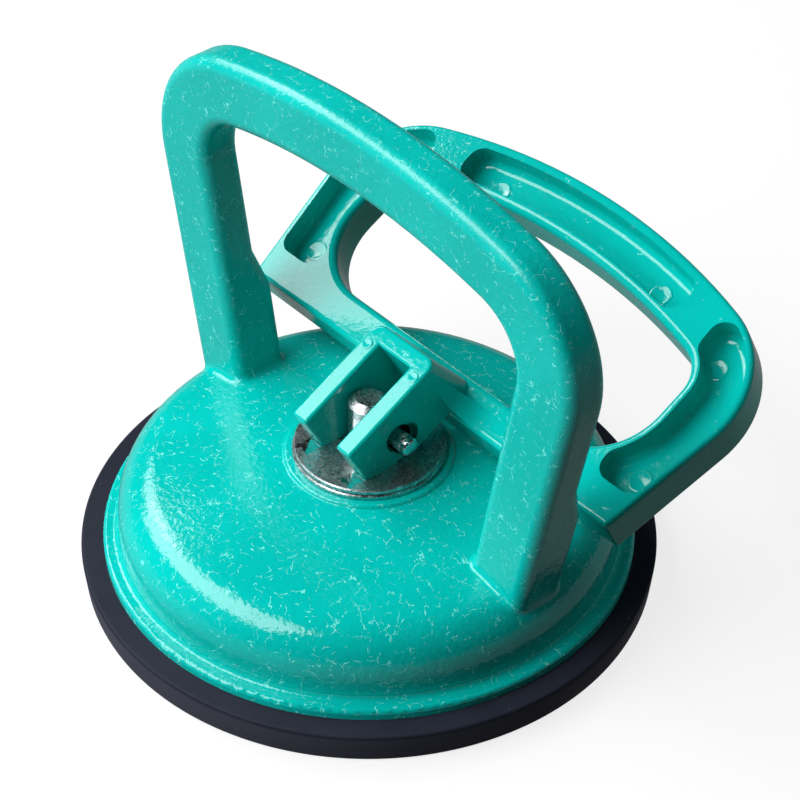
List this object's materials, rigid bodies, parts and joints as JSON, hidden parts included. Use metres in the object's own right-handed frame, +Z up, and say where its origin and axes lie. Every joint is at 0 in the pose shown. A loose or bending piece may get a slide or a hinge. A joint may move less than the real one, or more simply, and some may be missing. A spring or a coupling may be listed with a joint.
{
  "type": "suction lifter",
  "caption": "Single-cup vacuum lifter for floor tiles: cast dome with a fixed arch handle, rubber suction disc and a D-ring cam lever that draws the disc up.",
  "frame": {"origin": "centre of the rubber disc's flat underside", "axes": "+Z up through the pull post, +X along the cross pin and the arch handle, the lever lies back towards +Y"},
  "size_m": [0.12, 0.1278, 0.1075],
  "materials": {
    "hammer_paint": "teal crackle-effect enamel on die-cast aluminium, glossy",
    "rubber": "matte moulded black rubber",
    "zinc_steel": "bright zinc plating",
    "spring_steel": "drawn spring wire",
    "bronze": "plain sintered bush"
  },
  "bodies": {
    "body": {"body_casting": "hammer_paint", "guide_bush": "bronze", "backing_washer": "zinc_steel", "bearing_washer": "zinc_steel", "rubber_suction_disc": "rubber", "return_spring": "spring_steel"},
    "pull": {"pull_post": "zinc_steel", "steel_insert_plate": "zinc_steel", "stud_nut": "zinc_steel", "spring_seat_washer": "zinc_steel"},
    "lever": {"lever_casting": "hammer_paint", "cross_pin": "zinc_steel"}
  },
  "joints": [
    {"name": "post_lift", "type": "slide", "parent": "body", "child": "pull", "axis": [0, 0, 1], "range_m": [0, 0.0044], "deforming": ["return_spring"]},
    {"name": "lever_swing", "type": "hinge", "parent": "pull", "child": "lever", "pos_m": [0, 0, 0.0362], "axis": [1, 0, 0], "range_deg": [0, 63]}
  ],
  "couplings": [
    {"joint": "post_lift", "follows": "lever_swing", "m_per_rad": 0.004}
  ]
}
